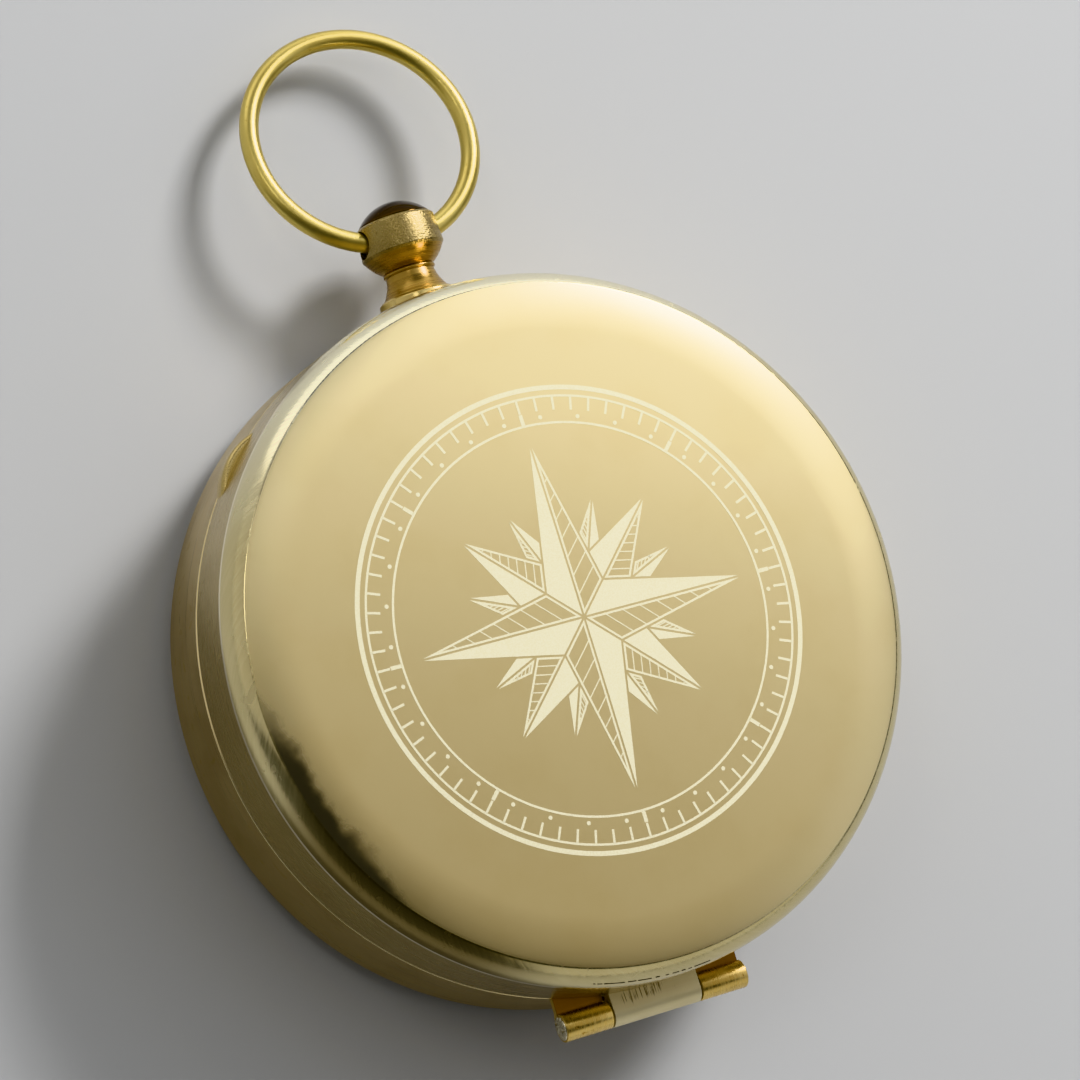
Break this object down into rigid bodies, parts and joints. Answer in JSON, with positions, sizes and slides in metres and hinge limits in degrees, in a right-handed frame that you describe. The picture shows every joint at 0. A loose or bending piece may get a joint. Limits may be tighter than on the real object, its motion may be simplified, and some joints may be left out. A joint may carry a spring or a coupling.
{
  "type": "pocket compass",
  "caption": "Round brass pocket compass in a hinged hunter case with a turned pendant and a swinging bow ring; jewelled needle on a pivot under glass.",
  "frame": {"origin": "centre of the flat back of the case, on the plane that the compass lies on", "axes": "+Z out of the dial and through the lid, +Y from the centre towards the pendant and bow, hinge at -Y, +X to the right when looking at the lid with the bow up"},
  "size_m": [0.05, 0.0743, 0.015],
  "materials": {
    "case_brass": "turned, fine vertical brushing on the wall, light patina",
    "lid_brass": "satin-polished champagne face, polished shoulder",
    "sleeve_brass": "turned, clean",
    "crystal": "clear polished glass",
    "spring_wire": "drawn wire",
    "dial_silvered": "silvered and lacquered, matt",
    "degree_brass": "turned, divided",
    "screw_brass": "slotted cheese heads, polished",
    "post_brass": "turned",
    "pivot_steel": "hardened, polished point",
    "needle_steel": "blued north arm, bright south arm",
    "cap_brass": "turned, polished",
    "jewel": "polished red stone",
    "weight_brass": "folded strip",
    "lid_leaf_brass": "pale like the lid, scuffed along the roll",
    "hinge_brass": "saturated golden, scratched",
    "hinge_pin_brass": "hammered ends",
    "collar_brass": "turned, worn",
    "pendant_brass": "satin drum, polished cup and stem",
    "pendant_cap_brass": "mirror polished dome",
    "bow_brass": "polished drawn wire, fine scratches"
  },
  "bodies": {
    "case": {"case_body": "case_brass", "case_sleeve": "sleeve_brass", "glass": "crystal", "glass_spring_ring": "spring_wire", "dial_plate": "dial_silvered", "degree_ring": "degree_brass", "dial_screws": "screw_brass", "pivot_post": "post_brass", "pivot_pin": "pivot_steel", "body_hinge_leaf": "hinge_brass", "hinge_pin": "hinge_pin_brass", "pendant_collar": "collar_brass", "pendant": "pendant_brass", "pendant_cap": "pendant_cap_brass", "pendant_screw": "screw_brass"},
    "lid": {"lid": "lid_brass", "lid_hinge_leaf": "lid_leaf_brass"},
    "bow": {"bow_ring": "bow_brass"},
    "compass_needle": {"needle": "needle_steel", "needle_cap": "cap_brass", "needle_jewel": "jewel", "balance_weight": "weight_brass"}
  },
  "joints": [
    {"name": "lid_hinge", "type": "hinge", "parent": "case", "child": "lid", "pos_m": [0, -0.0261, 0.0068], "axis": [1, 0, 0], "range_deg": [0, 180]},
    {"name": "bow_swing", "type": "hinge", "parent": "case", "child": "bow", "pos_m": [0, 0.03065, 0.0039], "axis": [1, 0, 0], "range_deg": [-135, 130]},
    {"name": "needle_spin", "type": "hinge", "parent": "case", "child": "compass_needle", "pos_m": [0, 0, 0.0042], "axis": [0, 0, 1], "continuous": true}
  ]
}
